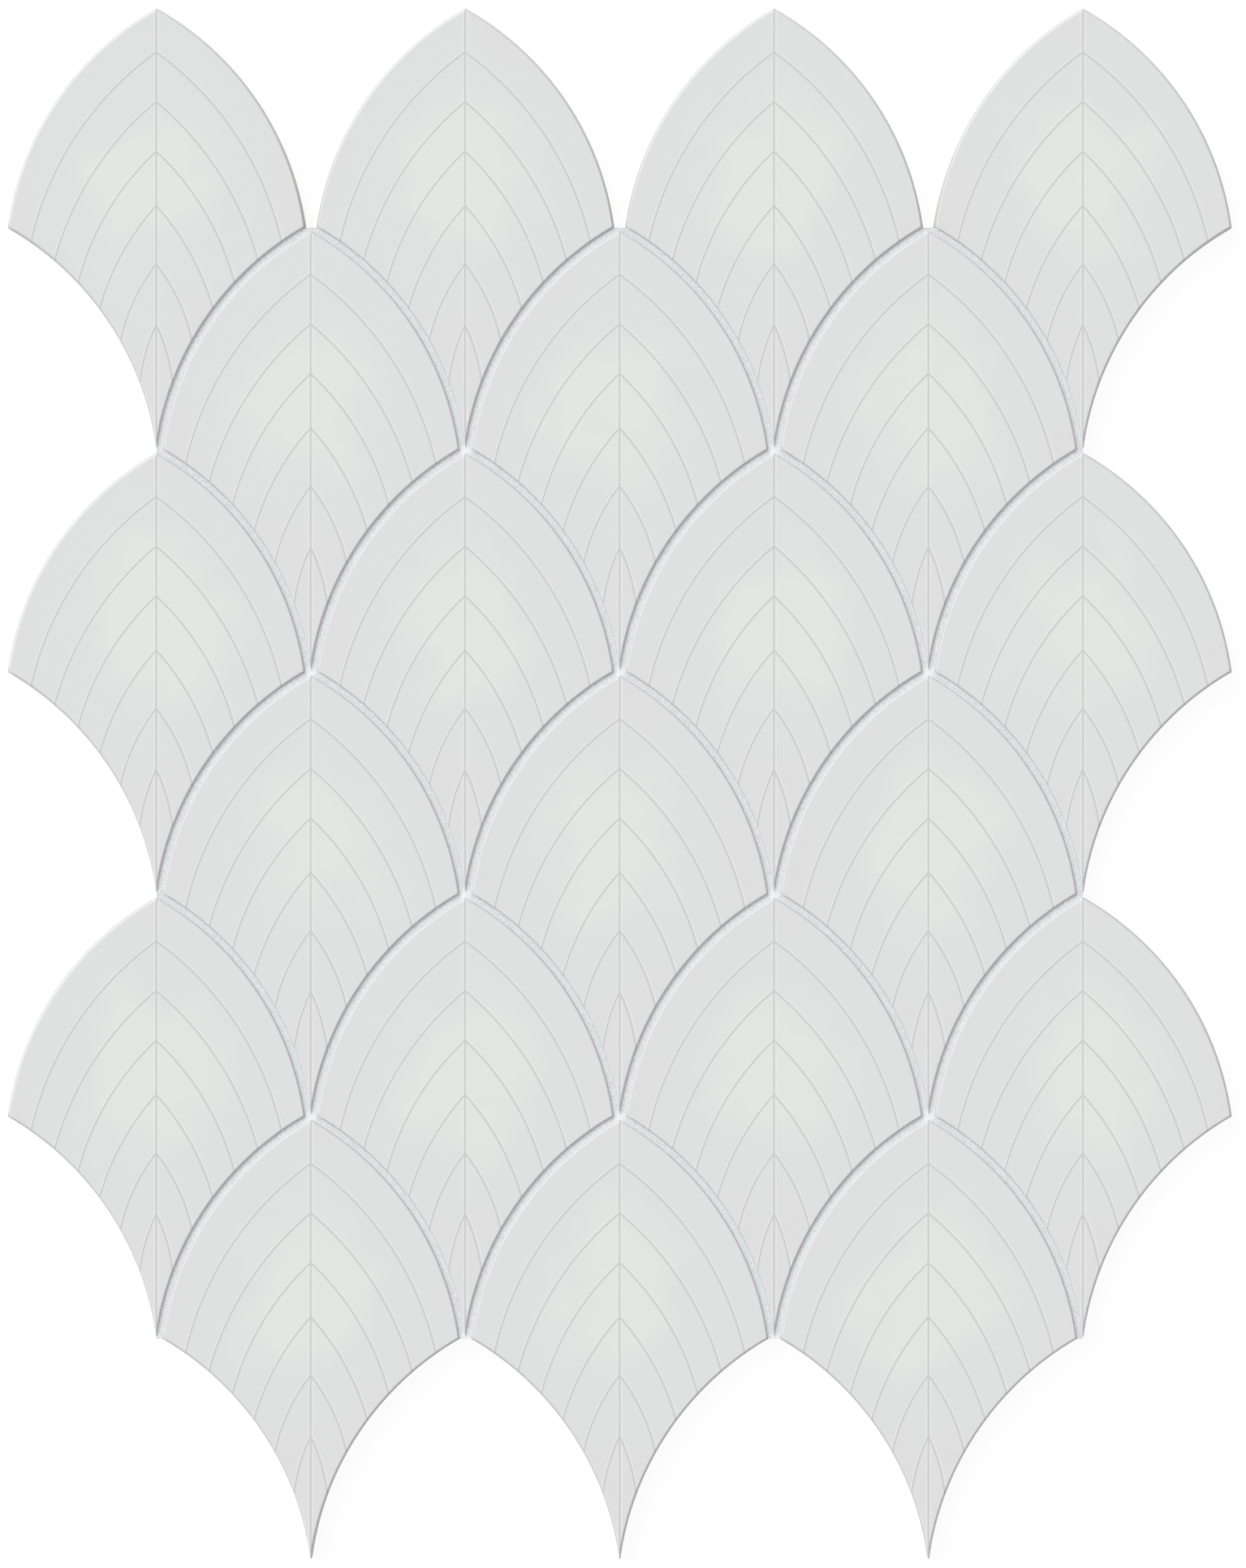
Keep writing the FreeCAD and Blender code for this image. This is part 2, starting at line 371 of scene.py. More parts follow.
def surface_normals(height, plan):
    """Which way a surface looks over points of a plan, from how its height changes there."""
    reach = 0.002
    across = np.array([reach, 0])
    along = np.array([0, reach])
    rises = [height(plan + step) - height(plan - step) for step in (across, along)]
    slopes = np.array(rises) / (2 * reach)
    normals = np.column_stack([-slopes[0], -slopes[1], np.ones(len(plan))])
    return normals / np.linalg.norm(normals, axis=1)[:, None]


def arc(centre, radius, start, end, step):
    """Points along an arc between two angles, both ends included."""
    count = max(2, math.ceil(abs(end - start) * radius / step) + 1)
    turns = np.linspace(start, end, count)
    return centre + radius * np.column_stack([np.cos(turns), np.sin(turns)])


def circles_meet(one, one_radius, two, two_radius):
    """Where two circles cross, taking the crossing that lies higher."""
    one = np.array(one)
    across = np.array(two) - one
    apart = np.hypot(*across)
    along = (apart ** 2 + one_radius ** 2 - two_radius ** 2) / (2 * apart)
    reach = math.sqrt(one_radius ** 2 - along ** 2)
    middle = one + across * along / apart
    side = np.array([-across[1], across[0]]) * reach / apart
    return max(middle + side, middle - side, key=lambda point: point[1])


def turn_to(centre, point):
    """The angle at which a point lies from a centre."""
    return math.atan2(point[1] - centre[1], point[0] - centre[0])


def leaf_ring(leaf, inset):
    """The leaf's outline set in from its edges, as a ring of points from the tip to the right."""
    arch = (-leaf.arch_across, -leaf.arch_drop)
    arch_radius = leaf.arch_radius - inset
    hollow = (leaf.hollow_across, -leaf.hollow_drop)
    hollow_radius = leaf.hollow_radius + inset
    tip = (0, arch[1] + math.sqrt(arch_radius ** 2 - arch[0] ** 2))
    shoulder = circles_meet(arch, arch_radius, hollow, hollow_radius)
    foot_level = inset - leaf.height
    foot_half = hollow[0] - math.sqrt(hollow_radius ** 2 - (foot_level - hollow[1]) ** 2)
    if foot_half > 0:
        foot = (foot_half, foot_level)
    else:
        foot = (0, hollow[1] + math.sqrt(hollow_radius ** 2 - hollow[0] ** 2))
    down = arc(arch, arch_radius, turn_to(arch, tip), turn_to(arch, shoulder), leaf.step)
    to_shoulder = turn_to(hollow, shoulder) % (2 * math.pi)
    to_foot = turn_to(hollow, foot) % (2 * math.pi)
    in_to_foot = arc(hollow, hollow_radius, to_shoulder, to_foot, leaf.step)
    right = np.vstack([down, in_to_foot[1:]])
    left = right[::-1] * (-1, 1)
    ring = np.vstack([right, left])
    keep = np.hypot(*(ring - np.roll(ring, 1, axis=0)).T) > TOGETHER
    return ring[keep]


def last_inside(leaf, curve, inner, outer):
    """Where a curve that starts inside the leaf leaves it, as a value of the curve."""
    for _ in range(HALVINGS):
        middle = (inner + outer) / 2
        x, y = curve(middle)
        if inside_edge(leaf, x, y) > 0:
            inner = middle
        else:
            outer = middle
    return inner


def vein_lines(leaf):
    """Lines along every groove: its bottom, its walls and its lips, on both sides of the axis."""
    middle = -leaf.height / 2
    past_outline = 1.0
    small_turn = 1e-4
    lines = []
    for share in VEIN_LINES:
        out = share * leaf.vein_half
        top = last_inside(leaf, lambda y: (out, y), middle, past_outline)
        bottom = last_inside(leaf, lambda y: (out, y), middle, -leaf.height - past_outline)
        count = math.ceil((top - bottom) / leaf.step)
        levels = np.linspace(top, bottom, count)
        lines.append(np.column_stack([np.full(count, out), levels]))
        # A side vein has no lip on its inner side.
        if share < -1:
            continue
        for (across, up), radius in leaf.veins:
            wide = radius + out
            start = math.acos(-across / wide)
            end = last_inside(
                leaf,
                lambda turn: (across + wide * math.cos(turn), up + wide * math.sin(turn)),
                start - small_turn,
                0.0,
            )
            right = arc((across, up), wide, start, end, leaf.step)
            lines.append(right)
            lines.append(right * (-1, 1))
    return lines


def field_points(leaf):
    """Points spread over the flat of the face, clear of its bevel and its veins."""
    half = leaf.pitch / 2
    across = np.arange(-half, half, FACE_GRID)
    levels = np.arange(-leaf.height, 0, FACE_GRID)
    x, y = (values.ravel() for values in np.meshgrid(across, levels))
    clear = inside_edge(leaf, x, y) > leaf.arris + leaf.arris_easing + BEVEL_MARGIN
    clear &= np.min(np.abs(off_veins(leaf, x, y)), axis=0) > VEIN_MARGIN
    return np.column_stack([x[clear], y[clear]])


def triangulate(rings, lines, points, outside):
    """Triangles over a plan of closed rings, open lines and loose points. With outside, those
    beyond the rings are kept too."""
    places = []
    edges = []
    for line in [*rings, *lines]:
        first = len(places)
        places.extend(line)
        edges.extend((first + i, first + i + 1) for i in range(len(line) - 1))
    first = 0
    for ring in rings:
        edges.append((first + len(ring) - 1, first))
        first += len(ring)
    places.extend(points)
    corners = [Vector(place) for place in places]
    kept = 0 if outside else 1
    found = delaunay_2d_cdt(corners, edges, [], kept, TOGETHER)
    return np.array([tuple(place) for place in found[0]]), np.array(found[2])


def without_slivers(plan, triangles):
    """The same plan with its narrowest triangles closed up."""
    mesh = bmesh.new()
    corners = [mesh.verts.new((*place, 0)) for place in plan]
    for face in triangles:
        mesh.faces.new([corners[i] for i in face])
    bmesh.ops.dissolve_degenerate(mesh, dist=LEAST_WIDTH, edges=mesh.edges)
    bmesh.ops.triangulate(mesh, faces=mesh.faces)
    mesh.verts.index_update()
    plan = np.array([vertex.co[:2] for vertex in mesh.verts])
    triangles = np.array([[vertex.index for vertex in face.verts] for face in mesh.faces])
    mesh.free()
    return plan, triangles


def rim_edges(triangles):
    """Edges that only one triangle has, each in the direction in which it has it."""
    sides = np.vstack([triangles[:, [0, 1]], triangles[:, [1, 2]], triangles[:, [2, 0]]])
    owned = {(int(a), int(b)) for a, b in sides}
    return [(a, b) for a, b in owned if (b, a) not in owned]


def slab_mesh(name, plan, triangles, heights, bottom, normals):
    """A closed mesh in metres: a shaped top over a plan, walls down from its rim and a flat
    underside. The top is shaded by its own normals and the rest by its faces."""
    rim = sorted(rim_edges(triangles))
    count = len(plan)
    top = np.column_stack([plan, heights])
    under = np.column_stack([plan, np.full(count, bottom)])
    faces = [tuple(int(i) for i in face) for face in triangles]
    tops = len(faces)
    faces += [tuple(int(i) + count for i in face[::-1]) for face in triangles]
    faces += [(b, a, a + count, b + count) for a, b in rim]
    mesh = bpy.data.meshes.new(name)
    mesh.from_pydata(np.vstack([top, under]) * MM, [], faces)
    mesh.validate()
    mesh.update()
    mesh.polygons.foreach_set("use_smooth", np.ones(len(mesh.polygons), bool))
    shading = []
    for index, face in enumerate(mesh.polygons):
        if index < tops:
            shading.extend(normals[corner] for corner in face.vertices)
        else:
            shading.extend(face.normal for _ in face.vertices)
    mesh.normals_split_custom_set([tuple(normal) for normal in shading])
    return mesh


def tile_mesh(leaf):
    """One leaf tile with its tip over the origin: eased bevel, vein grooves and flat back."""
    eased = [leaf.arris + share * leaf.arris_easing for share in (-1, -0.5, 0, 0.5, 1)]
    rings = [leaf_ring(leaf, inset) for inset in (0, *eased)]
    plan, triangles = triangulate(rings, vein_lines(leaf), field_points(leaf), False)
    plan, triangles = without_slivers(plan, triangles)
    x, y = plan.T
    heights = leaf.face + face_height(leaf, x, y)
    normals = surface_normals(lambda places: face_height(leaf, *places.T), plan)
    mesh = slab_mesh("leaf_tile", plan, triangles, heights, leaf.back, normals)
    none = np.zeros(len(plan))
    # The veins' grooves get painted shade in the glaze, and their lips a painted highlight.
    store(mesh, "vein", np.concatenate([groove_share(leaf, x, y), none]))
    store(mesh, "lip", np.concatenate([lip_share(leaf, x, y), none]))
    # How far points lie out on the bevel, where the glaze gets its painted shade.
    edge = np.clip((leaf.arris - inside_edge(leaf, x, y)) / leaf.arris_easing, 0, 1)
    store(mesh, "edge", np.concatenate([edge, none + 1]))
    off_middle = np.hypot(x / MIDDLE_ACROSS, (y + MIDDLE_DROP) / MIDDLE_ALONG)
    store(mesh, "off_middle", np.concatenate([off_middle, none + 1]))
    return mesh


def store(mesh, name, values):
    """Keeps one number at each vertex for the mesh's material."""
    attribute = mesh.attributes.new(name, "FLOAT", "POINT")
    attribute.data.foreach_set("value", values.astype(np.float32))


def joint_points(leaf, tips, meetings):
    """Points in rows along the joints over every tile's arches, and round the joints' meetings."""
    arch = (-leaf.arch_across, -leaf.arch_drop)
    off_axis = 0.1
    radii = [leaf.arch_radius + share * leaf.joint for share in JOINT_ROWS]
    right = np.vstack([arc(arch, radius, 0, math.pi / 2, leaf.step) for radius in radii])
    right = right[right[:, 0] > off_axis]
    arches = np.vstack([right, right * (-1, 1)])
    across = np.arange(-BLOOM_ACROSS, BLOOM_ACROSS + BLOOM_GRID / 2, BLOOM_GRID)
    along = np.arange(-BLOOM_ALONG, BLOOM_ALONG + BLOOM_GRID / 2, BLOOM_GRID)
    near = np.array([(x, y) for x in across for y in along])
    return np.vstack([arches + tip for tip in tips] + [near + place for place in meetings])


def joint_mesh(leaf, sizes):
    """The grout in every joint, from the mesh up to its dished top."""
    low, high = box_in_mm("joint_grout")
    bite = sizes.bite / MM
    recess = sizes.recess / MM
    lap = leaf.arris - recess / leaf.arris_fall
    dish = sizes.dish / MM
    tips = np.array([tip_of(name) for name in tile_nodes()])
    meetings = tips - (0, leaf.height + leaf.joint / 2)
    meetings = meetings[np.abs(meetings[:, 0]) < high[0] - leaf.joint]
    ring = leaf_ring(leaf, bite)
    rings = [ring + tip for tip in tips]
    rings.append(np.array([low[:2], (high[0], low[1]), high[:2], (low[0], high[1])]))

    def beside_tiles(places):
        inside = [inside_edge(leaf, *(places - tip).T) for tip in tips]
        return -np.max(inside, axis=0)

    def in_field(places):
        return np.all((places > low[:2]) & (places < high[:2]), axis=1)

    def top_height(places):
        out = np.clip((beside_tiles(places) + lap) / (leaf.joint / 2 + lap), 0, 1)
        return leaf.face - recess - dish * (1 - (1 - out) ** 2)

    points = joint_points(leaf, tips, meetings)
    off_tiles = leaf.joint / 12
    points = points[(beside_tiles(points) > off_tiles) & in_field(points)]
    plan, triangles = triangulate(rings, [], points, True)
    centres = plan[triangles].mean(axis=1)
    triangles = triangles[(beside_tiles(centres) > -bite) & in_field(centres)]
    used = np.unique(triangles)
    places = np.zeros(len(plan), int)
    places[used] = np.arange(len(used))
    plan = plan[used]
    triangles = places[triangles]
    normals = surface_normals(top_height, plan)
    bottom = low[2] + sizes.stand_off / MM
    mesh = slab_mesh("joint_grout", plan, triangles, top_height(plan), bottom, normals)
    away = [np.hypot(*(plan - place).T) for place in meetings]
    bloom = hump(np.min(away, axis=0) / BLOOM_REACH)
    store(mesh, "bloom", np.concatenate([bloom, np.zeros(len(plan))]))
    return mesh


def runs_inside(tree, start, direction, reach):
    """Stretches of a straight line that lie inside a closed mesh, as distances from its start."""
    crossings = []
    gone = 0.0
    past_face = 1e-6
    while gone < reach:
        place, _, _, ahead = tree.ray_cast(start + direction * gone, direction, reach - gone)
        if place is None:
            break
        gone += ahead + past_face
        crossings.append(gone)
    return list(zip(crossings[::2], crossings[1::2]))


def yarn_lines(solid, cell):
    """Straight runs of every yarn inside the frame's mesh: its axis, its number and its ends."""
    tree = BVHTree.FromPolygons(
        [vertex.co for vertex in solid.data.vertices],
        [face.vertices for face in solid.data.polygons],
    )
    low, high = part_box(solid.name)
    middle = (low.z + high.z) / 2
    outside = 0.001
    for axis in (0, 1):
        other = 1 - axis
        first = math.ceil(low[other] / cell)
        last = math.floor(high[other] / cell)
        for number in range(first, last + 1):
            start = Vector((0, 0, middle))
            start[other] = number * cell
            start[axis] = low[axis] - outside
            direction = Vector((0, 0, 0))
            direction[axis] = 1.0
            reach = high[axis] + outside - start[axis]
            for begin, end in runs_inside(tree, start, direction, reach):
                yield axis, number, start[axis] + begin, start[axis] + end


def yarn_stops(begin, end, cell):
    """Where a yarn has its sections: at its ends, at each crossing and halfway between these."""
    half_steps = range(math.ceil(2 * begin / cell), math.floor(2 * end / cell) + 1)
    places = [half * cell / 2 for half in half_steps]
    return [begin, *(place for place in places if begin < place < end), end]


def yarn_faces(first, count):
    """Faces of one yarn that has a number of four-cornered sections, with both ends closed."""
    faces = []
    last = first + 4 * (count - 1)
    for ring in range(first, last, 4):
        for corner in range(4):
            following = (corner + 1) % 4
            here = (ring + corner, ring + following)
            faces.append((*here, here[1] + 4, here[0] + 4))
    faces.append((first + 3, first + 2, first + 1, first))
    faces.append((last, last + 1, last + 2, last + 3))
    return faces


def weave_yarns(solid, sizes):
    """Flattened yarns that pass over and under each other: their vertices and faces, and for
    each vertex 0 where its yarn runs across the sheet and 1 where it runs up it."""
    low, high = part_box(solid.name)
    cell = sizes.cell
    middle = (low.z + high.z) / 2
    rise = sizes.yarn_thickness / 2
    section = (
        (-sizes.yarn_width / 2, 0.0),
        (0.0, -sizes.yarn_thickness / 2),
        (sizes.yarn_width / 2, 0.0),
        (0.0, sizes.yarn_thickness / 2),
    )
    vertices = []
    faces = []
    directions = []
    for axis, number, begin, end in yarn_lines(solid, cell):
        other = 1 - axis
        stops = yarn_stops(begin, end, cell)
        faces += yarn_faces(len(vertices), len(stops))
        for stop in stops:
            swing = math.cos(math.pi * (stop / cell + number + axis))
            for out, up in section:
                place = [0.0, 0.0, middle + rise * swing + up]
                place[axis] = stop
                # The section is mirrored for one axis, so that the faces of both look outwards.
                place[other] = number * cell + (-out if axis else out)
                vertices.append(place)
                directions.append(axis)
    return vertices, faces, np.array(directions)


def new_material(name):
    """An empty node material and its tree."""
    material = bpy.data.materials.new(name)
    material.use_nodes = True
    tree = material.node_tree
    tree.nodes.clear()
    return material, tree


def node(tree, kind, inputs=(), **settings):
    """A shader node with its settings, and its sockets given as values or as other outputs."""
    made = tree.nodes.new(kind)
    for name, value in settings.items():
        setattr(made, name, value)
    for socket, value in dict(inputs).items():
        if isinstance(value, bpy.types.NodeSocket):
            tree.links.new(value, made.inputs[socket])
        else:
            made.inputs[socket].default_value = value
    return made


def math_node(tree, operation, *values, clamp=False):
    """The result of a sum on numbers and outputs."""
    made = node(tree, "ShaderNodeMath", enumerate(values), operation=operation, use_clamp=clamp)
    return made.outputs[0]


def ramp(tree, value, low, high):
    """An output's share of the way from a low value to a high one, from 0 to 1."""
    gain = 1 / (high - low)
    return math_node(tree, "MULTIPLY_ADD", value, gain, -low * gain, clamp=True)


def spread(tree, share, low, high):
    """A value that goes from one to another as an output goes from 0 to 1."""
    return math_node(tree, "MULTIPLY_ADD", share, high - low, low)


def stored(tree, name):
    """The number that a mesh keeps under a name."""
    return node(tree, "ShaderNodeAttribute", attribute_name=name).outputs["Fac"]


def position(tree):
    """Where the surface lies, in metres."""
    return node(tree, "ShaderNodeNewGeometry").outputs["Position"]


def seen(tree):
    """1 for light that reaches the camera straight, by a gloss or through glass, or else 0."""
    path = node(tree, "ShaderNodeLightPath").outputs
    straight = math_node(tree, "MAXIMUM", path["Is Camera Ray"], path["Is Glossy Ray"])
    return math_node(tree, "MAXIMUM", straight, path["Is Transmission Ray"])


def mixed_colour(tree, share, first, second, blend="MIX"):
    """A colour between two others, each an output or a plain colour."""
    sockets = {0: share}
    for socket, value in zip(MIX_COLOURS, (first, second)):
        linked = isinstance(value, bpy.types.NodeSocket)
        sockets[socket] = value if linked else (*value, 1)
    made = node(tree, "ShaderNodeMix", sockets, data_type="RGBA", blend_type=blend)
    return made.outputs[2]


def mixed_value(tree, share, first, second):
    """A number between two others, each an output or a plain number."""
    sockets = {0: share, **dict(zip(MIX_NUMBERS, (first, second)))}
    return node(tree, "ShaderNodeMix", sockets).outputs[0]


def grain(tree, place, scale, detail):
    """Soft noise over the object, with its scale in waves to the metre."""
    made = node(tree, "ShaderNodeTexNoise", {"Vector": place, "Scale": scale, "Detail": detail})
    return made.outputs["Fac"]


def finish_with(tree, shader):
    """Sends a shader to the material's surface."""
    node(tree, "ShaderNodeOutputMaterial", {"Surface": shader})


def glaze_material(sizes, leaf):
    """Satin white glaze, lighter in the middle of the face and greyer towards its edges, with
    painted shade on the bevel and in the veins and a painted highlight on the veins' lips. It ends
    in a wavering line on the sides, with the matt biscuit below it."""
    material, tree = new_material("satin_glaze")
    place = position(tree)
    level = node(tree, "ShaderNodeSeparateXYZ", {0: place}).outputs["Z"]

    # From the middle of the face outwards the glaze turns cool and then greyer.
    clouds = grain(tree, place, 55.0, 2.0)
    away = math_node(tree, "ADD", stored(tree, "off_middle"), spread(tree, clouds, -0.4, 0.4))
    cool = ramp(tree, away, 0.25, 0.5)
    outward = ramp(tree, away, 0.65, 0.9)
    face = mixed_colour(tree, cool, sizes.glaze, sizes.cool_glaze)
    face = mixed_colour(tree, outward, face, sizes.outer_glaze)

    # Painted shade: the bevel is darkened in colour, and this painted shade fades out a fifth of
    # the bevel's fall below it.
    bevel_fall = leaf.arris * leaf.arris_fall
    bevel_foot = (leaf.face - 1.2 * bevel_fall) * MM
    fade = 0.0003
    on_bevel = ramp(tree, level, bevel_foot - fade, bevel_foot + fade)
    bevel = math_node(tree, "MULTIPLY", stored(tree, "edge"), on_bevel)
    face = mixed_colour(tree, bevel, face, sizes.painted_bevel_shade)
    # Painted highlight: the veins' lips are lightened in colour.
    face = mixed_colour(tree, stored(tree, "lip"), face, sizes.painted_lip_highlight)
    # Painted shade: the veins' grooves are darkened in colour.
    face = mixed_colour(tree, stored(tree, "vein"), face, sizes.painted_vein_shade)

    specks = grain(tree, place, 1500.0, 3.0)
    dusty = spread(tree, specks, 0.92, 1.08)
    biscuit = mixed_colour(tree, 1.0, sizes.biscuit, dusty, "MULTIPLY")

    # The glaze ends on the sides in a line that wavers and is soft for a quarter millimetre.
    waver = spread(tree, grain(tree, place, 130.0, 2.0), -0.0006, 0.0006)
    ragged = math_node(tree, "ADD", level, waver)
    line = leaf.face * MM - sizes.glaze_skirt
    soft = 0.000125
    glazed = ramp(tree, ragged, line - soft, line + soft)

    gloss = spread(tree, clouds, 0.32, 0.44)
    rough = mixed_value(tree, glazed, 0.85, gloss)
    ripple = math_node(tree, "MULTIPLY", grain(tree, place, 700.0, 1.0), 0.06)
    relief = mixed_value(tree, glazed, specks, ripple)
    bump = node(tree, "ShaderNodeBump", {"Strength": 0.35, "Distance": 0.0002, "Height": relief})
    shader = node(
        tree,
        "ShaderNodeBsdfPrincipled",
        {
            "Base Color": mixed_colour(tree, glazed, biscuit, face),
            "Roughness": rough,
            "Specular IOR Level": 0.25,
            "Normal": bump.outputs[0],
        },
    )
    finish_with(tree, shader.outputs[0])
    return material


def grout_material(sizes):
    """Pale grey sanded grout: grains of two sizes, matt and gritty, and paler where the
    joints meet."""
    material, tree = new_material("sanded_grout")
    place = position(tree)
    coarse = grain(tree, place, 3400.0, 2.0)
    fine = grain(tree, place, 8000.0, 1.0)
    sand = mixed_value(tree, 0.35, coarse, fine)
    share = ramp(tree, sand, 0.391, 0.609)
    sanded = mixed_colour(tree, share, sizes.grey_sand, sizes.pale_sand)
    bump = node(tree, "ShaderNodeBump", {"Strength": 0.5, "Distance": 0.0002, "Height": sand})
    shader = node(
        tree,
        "ShaderNodeBsdfPrincipled",
        {
            "Base Color": mixed_colour(tree, stored(tree, "bloom"), sanded, sizes.meeting_tint),
            "Roughness": spread(tree, share, 0.82, 0.94),
            "Normal": bump.outputs[0],
            "Specular IOR Level": 0.3,
        },
    )
    finish_with(tree, shader.outputs[0])
    return material


def yarn_material(sizes):
    """Glass yarn with fine filaments along it."""
    material, tree = new_material("glass_yarn")
    # The filaments are noise that is drawn out along each yarn.
    along = 0.04
    stretches = ((along, 1.0, 1.0), (1.0, along, 1.0))
    sockets = {0: stored(tree, "upward"), **dict(zip(MIX_VECTORS, stretches))}
    stretch = node(tree, "ShaderNodeMix", sockets, data_type="VECTOR").outputs[1]
    factors = {0: position(tree), 1: stretch}
    drawn = node(tree, "ShaderNodeVectorMath", factors, operation="MULTIPLY").outputs[0]
    filaments = grain(tree, drawn, 9000.0, 2.0)
    share = ramp(tree, filaments, 0.308, 0.692)
    relief = {"Strength": 0.5, "Distance": 0.00008, "Height": filaments}
    bump = node(tree, "ShaderNodeBump", relief)
    shader = node(
        tree,
        "ShaderNodeBsdfPrincipled",
        {
            "Base Color": mixed_colour(tree, share, sizes.yarn_shade, sizes.yarn),
            "Roughness": spread(tree, share, 0.62, 0.47),
            "Normal": bump.outputs[0],
        },
    )
    finish_with(tree, shader.outputs[0])
    return material


def floor_material(stage):
    """White floor that shows a part of the sheet's shadow, and plain pale to other light."""
    material, tree = new_material("white_floor")
    shade = stage.shadow
    just_over_white = 1.02
    pale = node(tree, "ShaderNodeBsdfDiffuse", {"Color": (0.8, 0.8, 0.8, 1)}).outputs[0]
    shaded = node(tree, "ShaderNodeBsdfDiffuse", {"Color": (shade, shade, shade, 1)}).outputs[0]
    white = node(tree, "ShaderNodeEmission", {"Strength": just_over_white - shade}).outputs[0]
    shown = node(tree, "ShaderNodeAddShader", {0: shaded, 1: white}).outputs[0]
    both = node(tree, "ShaderNodeMixShader", {0: seen(tree), 1: pale, 2: shown})
    finish_with(tree, both.outputs[0])
    return material


def add_piece(name, mesh, replaced):
    """A piece of the sheet that stands in the place of a CAD node."""
    piece = bpy.data.objects.new(name, mesh)
    bpy.context.scene.collection.objects.link(piece)
    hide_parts(replaced)
    return piece


class LayTiles(bpy.types.Operator):
    """Lay a glazed leaf tile in the place of each tile of the frame"""

    bl_idname = "tile_sheet.lay_tiles"
    bl_label = "Lay tiles"

    def execute(self, context):
        sizes = context.scene.tile_sheet.tiles
        leaf = draw_leaf(sizes)
        mesh = tile_mesh(leaf)
        mesh.materials.append(glaze_material(sizes, leaf))
        for name in tile_nodes():
            piece = add_piece(f"leaf_{name}", mesh, name)
            x, y = tip_of(name)
            piece.location = (x * MM, y * MM, 0)
            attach(piece, "root")
        return {"FINISHED"}


class FillJoints(bpy.types.Operator):
    """Fill the joints between the tiles with sanded grout"""

    bl_idname = "tile_sheet.fill_joints"
    bl_label = "Fill joints"

    def execute(self, context):
        sheet = context.scene.tile_sheet
        mesh = joint_mesh(draw_leaf(sheet.tiles), sheet.joints)
        mesh.materials.append(grout_material(sheet.joints))
        piece = add_piece("sanded_joints", mesh, "joint_grout")
        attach(piece, "root")
        return {"FINISHED"}


class WeaveBacking(bpy.types.Operator):
    """Weave the mesh that holds the tiles together from behind"""

    bl_idname = "tile_sheet.weave_backing"
    bl_label = "Weave backing"

    def execute(self, context):
        sizes = context.scene.tile_sheet.backing
        vertices, faces, directions = weave_yarns(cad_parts["mesh_backing"], sizes)
        mesh = bpy.data.meshes.new("woven_backing")
        mesh.from_pydata(vertices, [], faces)
        mesh.update()
        mesh.polygons.foreach_set("use_smooth", np.ones(len(mesh.polygons), bool))
        store(mesh, "upward", directions)
        mesh.materials.append(yarn_material(sizes))
        piece = add_piece("woven_backing", mesh, "mesh_backing")
        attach(piece, "root")
        return {"FINISHED"}


def lay_floor(scene, stage):
    """A wide floor under the sheet."""
    mesh = bpy.data.meshes.new("floor")
    reach = 12.0
    corners = [(-reach, -reach, 0), (reach, -reach, 0), (reach, reach, 0), (-reach, reach, 0)]
    mesh.from_pydata(corners, [], [(0, 1, 2, 3)])
    mesh.materials.append(floor_material(stage))
    floor = bpy.data.objects.new("floor", mesh)
    scene.collection.objects.link(floor)


def light_sheet(scene, stage):
    """A soft key light from the upper left, and even light from all round."""
    lamp = bpy.data.lights.new("key", "SUN")
    lamp.angle = stage.key_softness
    lamp.energy = stage.key_share * math.pi / math.sin(stage.key_height)
    key = bpy.data.objects.new("key", lamp)
    low = math.cos(stage.key_height)
    towards = Vector((
        low * math.cos(stage.key_azimuth),
        low * math.sin(stage.key_azimuth),
        math.sin(stage.key_height),
    ))
    key.rotation_euler = towards.to_track_quat("Z", "Y").to_euler()
    key.location = towards
    scene.collection.objects.link(key)

    world = bpy.data.worlds.new("studio")
    world.use_nodes = True
    tree = world.node_tree
    tree.nodes.clear()
    strength = mixed_value(tree, seen(tree), 1 - stage.key_share, 1.0)
    light = node(tree, "ShaderNodeBackground", {"Color": (1, 1, 1, 1), "Strength": strength})
    node(tree, "ShaderNodeOutputWorld", {"Surface": light.outputs[0]})
    scene.world = world


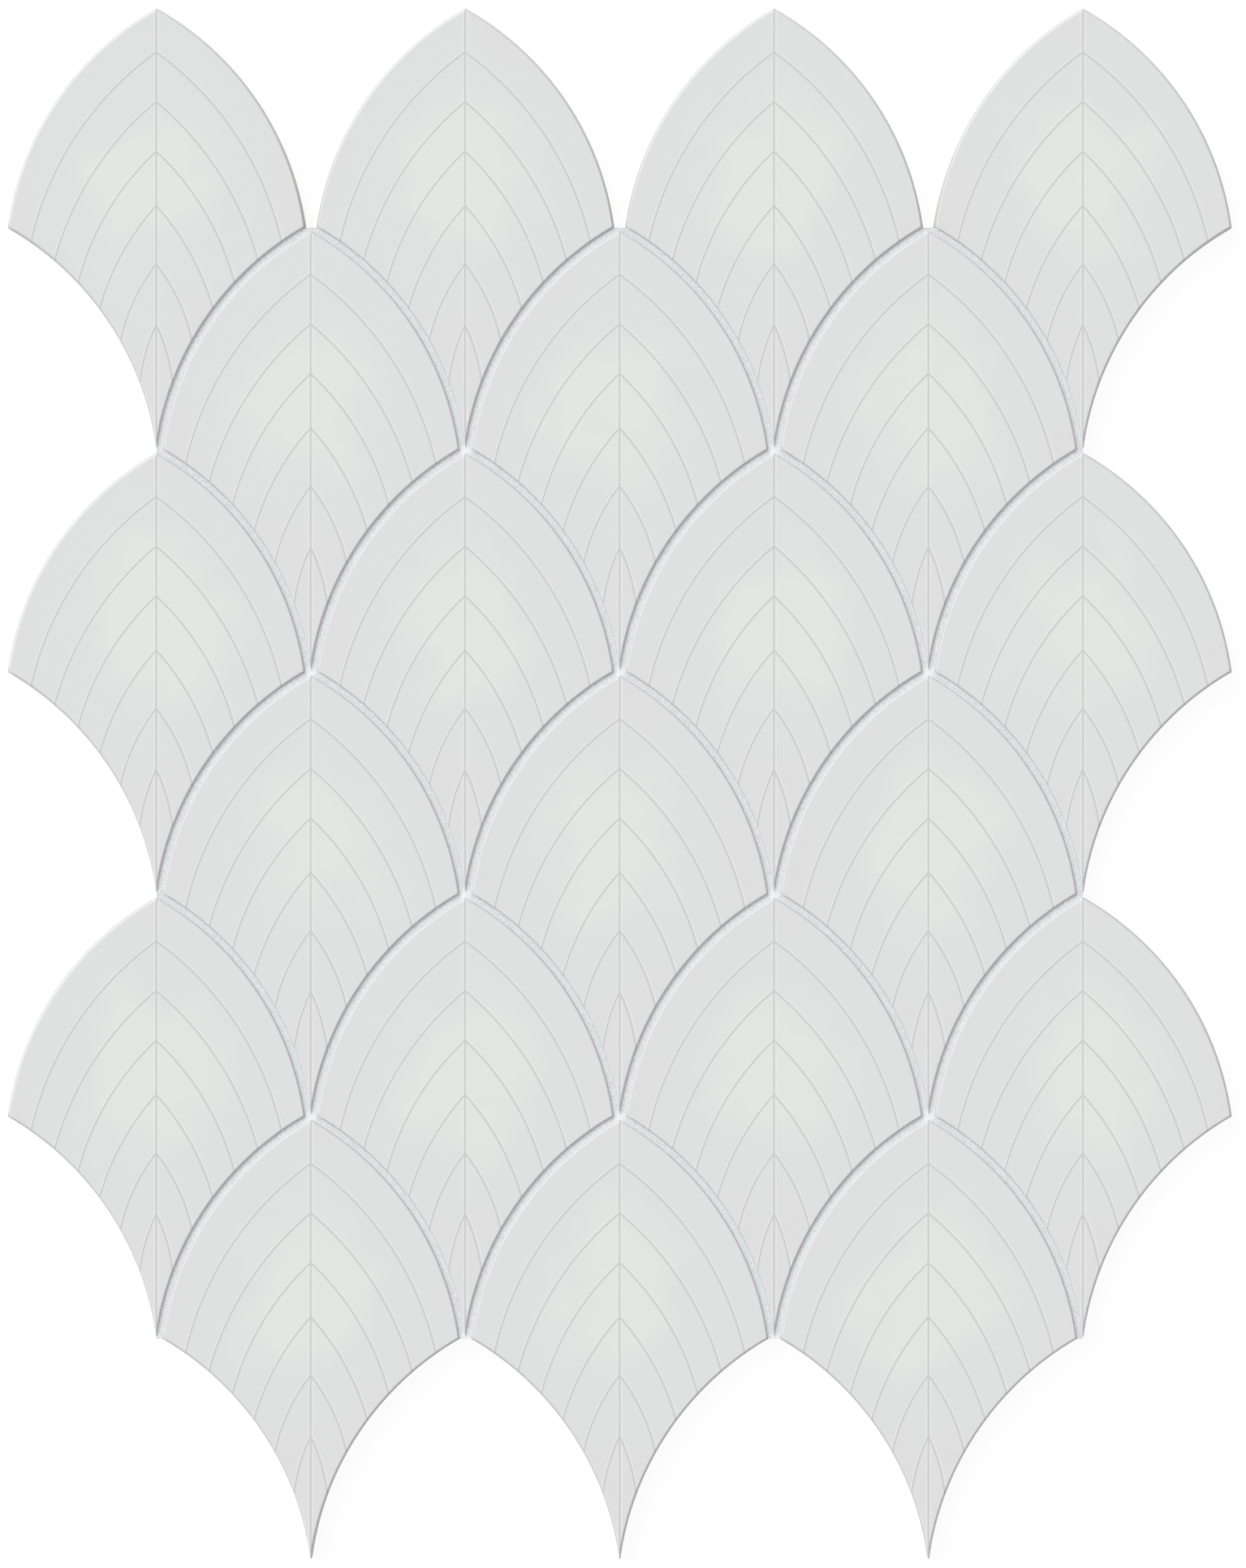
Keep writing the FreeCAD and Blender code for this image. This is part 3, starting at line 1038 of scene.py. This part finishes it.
def place_camera(scene, stage):
    """A long lens straight above the sheet."""
    lens = bpy.data.cameras.new("camera")
    lens.lens = stage.lens
    lens.sensor_width = SENSOR_HEIGHT / MM
    distance = stage.view_height * stage.lens * MM / SENSOR_HEIGHT
    lens.clip_end = 10 * distance
    camera = bpy.data.objects.new("camera", lens)
    camera.location = (stage.view_right, stage.view_up, CAD_BOX[1].z + distance)
    scene.collection.objects.link(camera)
    scene.camera = camera


class SetStage(bpy.types.Operator):
    """Set the white floor, the soft light from the upper left and the camera above the sheet"""

    bl_idname = "tile_sheet.set_stage"
    bl_label = "Set stage"

    def execute(self, context):
        scene = context.scene
        stage = scene.tile_sheet.stage
        scene.view_settings.view_transform = "Standard"
        lay_floor(scene, stage)
        light_sheet(scene, stage)
        place_camera(scene, stage)
        return {"FINISHED"}


class TileSheetPanel(bpy.types.Panel):
    """The sheet's sizes, colours and steps"""

    bl_idname = "VIEW3D_PT_tile_sheet"
    bl_label = "Tile sheet"
    bl_space_type = "VIEW_3D"
    bl_region_type = "UI"
    bl_category = "Tile sheet"

    def draw(self, context):
        sheet = context.scene.tile_sheet
        for group, step in (
            (sheet.tiles, LayTiles),
            (sheet.joints, FillJoints),
            (sheet.backing, WeaveBacking),
            (sheet.stage, SetStage),
        ):
            column = self.layout.column()
            for name in group.bl_rna.properties.keys():
                if name not in {"name", "rna_type"}:
                    column.prop(group, name)
            column.operator(step.bl_idname)


CLASSES = (
    LeafTileProperties,
    JointProperties,
    BackingProperties,
    StageProperties,
    TileSheetProperties,
    LayTiles,
    FillJoints,
    WeaveBacking,
    SetStage,
    TileSheetPanel,
)


def register():
    for kind in CLASSES:
        bpy.utils.register_class(kind)
    bpy.types.Scene.tile_sheet = PointerProperty(type=TileSheetProperties)


def unregister():
    del bpy.types.Scene.tile_sheet
    for kind in reversed(CLASSES):
        bpy.utils.unregister_class(kind)


def main():
    register()
    bpy.ops.tile_sheet.lay_tiles()
    bpy.ops.tile_sheet.fill_joints()
    bpy.ops.tile_sheet.weave_backing()
    bpy.ops.tile_sheet.set_stage()


if __name__ == "__main__":
    main()
